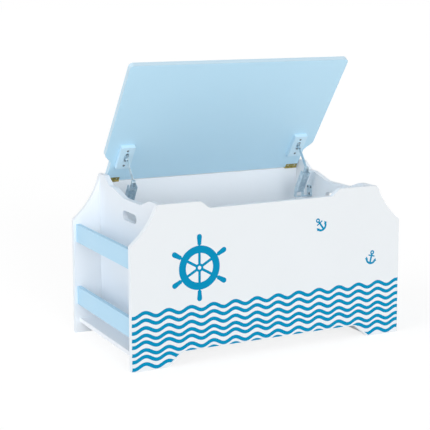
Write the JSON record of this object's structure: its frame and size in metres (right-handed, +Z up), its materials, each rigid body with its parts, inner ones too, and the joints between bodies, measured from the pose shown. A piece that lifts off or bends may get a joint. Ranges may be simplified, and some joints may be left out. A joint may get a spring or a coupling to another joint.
{
  "type": "toy chest",
  "caption": "Children's wooden toy chest with an arched base, book shelves behind slats at both ends and a hinged lid held open by folding metal stays.",
  "frame": {"origin": "middle of the footprint on the floor", "axes": "+X to the right seen from the front, +Y from the front to the back, +Z up"},
  "size_m": [0.84, 0.44, 0.7999],
  "materials": {
    "white_board": "satin white lacquer on fibreboard",
    "blue_board": "satin pale blue lacquer on fibreboard",
    "brass": "brass-plated pressed steel",
    "stay_steel": "zinc-plated pressed steel"
  },
  "bodies": {
    "chest": {"front_panel": "white_board", "back_panel": "white_board", "side_panel_left": "white_board", "side_panel_right": "white_board", "chest_floor": "white_board", "floor_batten_left": "white_board", "floor_batten_right": "white_board", "shelf_left": "white_board", "shelf_right": "white_board", "slat_lower_left": "blue_board", "slat_upper_left": "blue_board", "slat_lower_right": "blue_board", "slat_upper_right": "blue_board", "hinge_base_leaf_left": "brass", "hinge_base_leaf_right": "brass", "hinge_pins": "brass", "base_hinge_screws": "brass", "stay_side_bracket_left": "stay_steel", "stay_side_bracket_right": "stay_steel", "stay_side_rivets": "stay_steel", "side_bracket_screws": "stay_steel", "cam_fittings": "stay_steel"},
    "lid": {"lid": "blue_board", "hinge_lid_leaf_left": "brass", "hinge_lid_leaf_right": "brass", "lid_hinge_screws": "brass", "stay_block_left": "blue_board", "stay_block_right": "blue_board", "block_screws": "stay_steel", "stay_lid_bracket_left": "stay_steel", "stay_lid_bracket_right": "stay_steel", "lid_bracket_screws": "stay_steel", "stay_lid_rivets": "stay_steel"},
    "arm_left": {"stay_arm_left": "stay_steel"},
    "arm_right": {"stay_arm_right": "stay_steel"},
    "stay_left": {"stay_body_left": "stay_steel", "stay_knee_rivet_left": "stay_steel"},
    "stay_right": {"stay_body_right": "stay_steel", "stay_knee_rivet_right": "stay_steel"}
  },
  "joints": [
    {"name": "lid_hinge", "type": "hinge", "parent": "chest", "child": "lid", "pos_m": [0, 0.20205, 0.4406], "axis": [-1, 0, 0], "range_deg": [-53.3, 0]},
    {"name": "stay_foot_left", "type": "hinge", "parent": "chest", "child": "stay_left", "pos_m": [-0.285, 0.12105, 0.3806], "axis": [-1, 0, 0], "range_deg": [-65.5, 0]},
    {"name": "stay_foot_right", "type": "hinge", "parent": "chest", "child": "stay_right", "pos_m": [0.285, 0.12105, 0.3806], "axis": [-1, 0, 0], "range_deg": [-65.5, 0]},
    {"name": "arm_pivot_left", "type": "hinge", "parent": "lid", "child": "arm_left", "pos_m": [-0.285, 0.12127, 0.51384], "axis": [-1, 0, 0], "range_deg": [0, 69]},
    {"name": "arm_pivot_right", "type": "hinge", "parent": "lid", "child": "arm_right", "pos_m": [0.285, 0.12127, 0.51384], "axis": [-1, 0, 0], "range_deg": [0, 69]}
  ],
  "couplings": [
    {"joint": "stay_foot_left", "follows": "lid_hinge", "ratio": 1.2272},
    {"joint": "stay_foot_right", "follows": "lid_hinge", "ratio": 1.2272},
    {"joint": "arm_pivot_left", "follows": "lid_hinge", "ratio": -1.2915},
    {"joint": "arm_pivot_right", "follows": "lid_hinge", "ratio": -1.2915}
  ]
}
